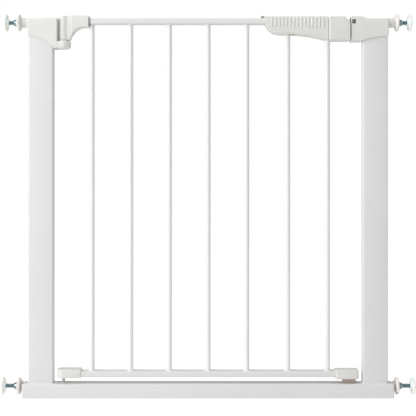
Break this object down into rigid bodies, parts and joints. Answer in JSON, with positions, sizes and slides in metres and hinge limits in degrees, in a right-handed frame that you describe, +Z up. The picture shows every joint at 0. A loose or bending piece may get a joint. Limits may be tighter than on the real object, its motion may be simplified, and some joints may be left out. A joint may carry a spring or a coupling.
{
  "type": "pressure-fit safety gate",
  "caption": "Pressure-fit stair and doorway safety gate: steel U-frame with four screw-out wall pads, a lift-and-swing barred panel and a sliding spring latch grip.",
  "frame": {"origin": "on the floor, under the middle of the bottom rail", "axes": "+X from the hinge side to the latch side, +Y from front to back, +Z up"},
  "size_m": [0.794, 0.033, 0.7365],
  "materials": {
    "frame_enamel": "satin powder coat",
    "bar_enamel": "satin powder coat",
    "casing_plastic": "fine moulded grain",
    "grip_plastic": "fine moulded grain",
    "wheel_plastic": "semi-gloss moulded",
    "end_cap_plastic": "moulded",
    "pad_rubber": "soft translucent",
    "zinc_steel": "zinc plated",
    "bright_steel": "machined",
    "nylon": "moulded",
    "tab_plastic": "moulded",
    "stop_plastic": "moulded"
  },
  "bodies": {
    "root": {"bottom_rail": "frame_enamel", "left_post": "frame_enamel", "right_post": "frame_enamel", "rail_end_cap_left": "end_cap_plastic", "rail_end_cap_right": "end_cap_plastic", "hinge_casing_front": "casing_plastic", "hinge_casing_rear": "casing_plastic", "hinge_cup": "casing_plastic", "upper_hinge_pin": "bright_steel", "latch_casing_front": "casing_plastic", "latch_casing_rear": "casing_plastic", "strike_plate": "bright_steel", "upper_sleeve_left": "end_cap_plastic", "upper_sleeve_right": "end_cap_plastic", "casing_screws": "bright_steel", "lower_pin_bush": "nylon", "bottom_stop": "stop_plastic"},
    "hinge_swivel": {"upper_hinge_bush": "nylon"},
    "panel": {"gate_top_rail": "bar_enamel", "gate_bottom_rail": "bar_enamel", "bar_1": "bar_enamel", "bar_2": "bar_enamel", "bar_3": "bar_enamel", "bar_4": "bar_enamel", "bar_5": "bar_enamel", "bar_6": "bar_enamel", "bar_7": "bar_enamel", "upper_hinge_bracket": "casing_plastic", "lower_hinge_block": "grip_plastic", "lower_hinge_pin": "bright_steel", "latch_shoe": "grip_plastic", "latch_housing_front": "grip_plastic", "latch_housing_rear": "grip_plastic", "housing_screws": "bright_steel", "spring_seat": "nylon", "latch_spring": "bright_steel"},
    "handle": {"grip_front": "grip_plastic", "grip_rear": "grip_plastic", "grip_screws": "bright_steel", "grip_end_tab": "tab_plastic", "latch_bolt": "bright_steel", "bolt_link_pin": "bright_steel"},
    "upper_left_wheel": {"upper_left_hand_wheel": "wheel_plastic", "upper_left_cone_nut": "zinc_steel"},
    "upper_left_foot": {"upper_left_spindle": "zinc_steel", "upper_left_wall_pad": "pad_rubber"},
    "upper_right_wheel": {"upper_right_hand_wheel": "wheel_plastic", "upper_right_cone_nut": "zinc_steel"},
    "upper_right_foot": {"upper_right_spindle": "zinc_steel", "upper_right_wall_pad": "pad_rubber"},
    "lower_left_wheel": {"lower_left_hand_wheel": "wheel_plastic", "lower_left_cone_nut": "zinc_steel"},
    "lower_left_foot": {"lower_left_spindle": "zinc_steel", "lower_left_wall_pad": "pad_rubber"},
    "lower_right_wheel": {"lower_right_hand_wheel": "wheel_plastic", "lower_right_cone_nut": "zinc_steel"},
    "lower_right_foot": {"lower_right_spindle": "zinc_steel", "lower_right_wall_pad": "pad_rubber"}
  },
  "joints": [
    {"name": "gate_swing", "type": "hinge", "parent": "root", "child": "hinge_swivel", "pos_m": [-0.278, 0, 0.36], "axis": [0, 0, 1], "range_deg": [-90, 90]},
    {"name": "gate_lift", "type": "slide", "parent": "hinge_swivel", "child": "panel", "axis": [0, 0, 1], "range_m": [0, 0.006]},
    {"name": "grip_slide", "type": "slide", "parent": "panel", "child": "handle", "axis": [-1, 0, 0], "range_m": [0, 0.01], "stiffness_N_per_m": 400, "springref_m": -0.01, "deforming": ["latch_spring"]},
    {"name": "upper_left_wheel_turn", "type": "hinge", "parent": "root", "child": "upper_left_wheel", "pos_m": [-0.364, 0, 0.72], "axis": [-1, 0, 0], "range_deg": [-2304, 5760]},
    {"name": "upper_left_spindle_feed", "type": "slide", "parent": "root", "child": "upper_left_foot", "axis": [-1, 0, 0], "range_m": [-0.008, 0.02]},
    {"name": "upper_right_wheel_turn", "type": "hinge", "parent": "root", "child": "upper_right_wheel", "pos_m": [0.364, 0, 0.72], "axis": [1, 0, 0], "range_deg": [-2304, 5760]},
    {"name": "upper_right_spindle_feed", "type": "slide", "parent": "root", "child": "upper_right_foot", "axis": [1, 0, 0], "range_m": [-0.008, 0.02]},
    {"name": "lower_left_wheel_turn", "type": "hinge", "parent": "root", "child": "lower_left_wheel", "pos_m": [-0.364, 0, 0.021], "axis": [-1, 0, 0], "range_deg": [-4032, 4032]},
    {"name": "lower_left_spindle_feed", "type": "slide", "parent": "root", "child": "lower_left_foot", "axis": [-1, 0, 0], "range_m": [-0.014, 0.014]},
    {"name": "lower_right_wheel_turn", "type": "hinge", "parent": "root", "child": "lower_right_wheel", "pos_m": [0.364, 0, 0.021], "axis": [1, 0, 0], "range_deg": [-4032, 4032]},
    {"name": "lower_right_spindle_feed", "type": "slide", "parent": "root", "child": "lower_right_foot", "axis": [1, 0, 0], "range_m": [-0.014, 0.014]}
  ],
  "couplings": [
    {"joint": "upper_left_wheel_turn", "follows": "upper_left_spindle_feed", "rad_per_m": 5026.5},
    {"joint": "upper_right_wheel_turn", "follows": "upper_right_spindle_feed", "rad_per_m": 5026.5},
    {"joint": "lower_left_wheel_turn", "follows": "lower_left_spindle_feed", "rad_per_m": 5026.5},
    {"joint": "lower_right_wheel_turn", "follows": "lower_right_spindle_feed", "rad_per_m": 5026.5}
  ]
}
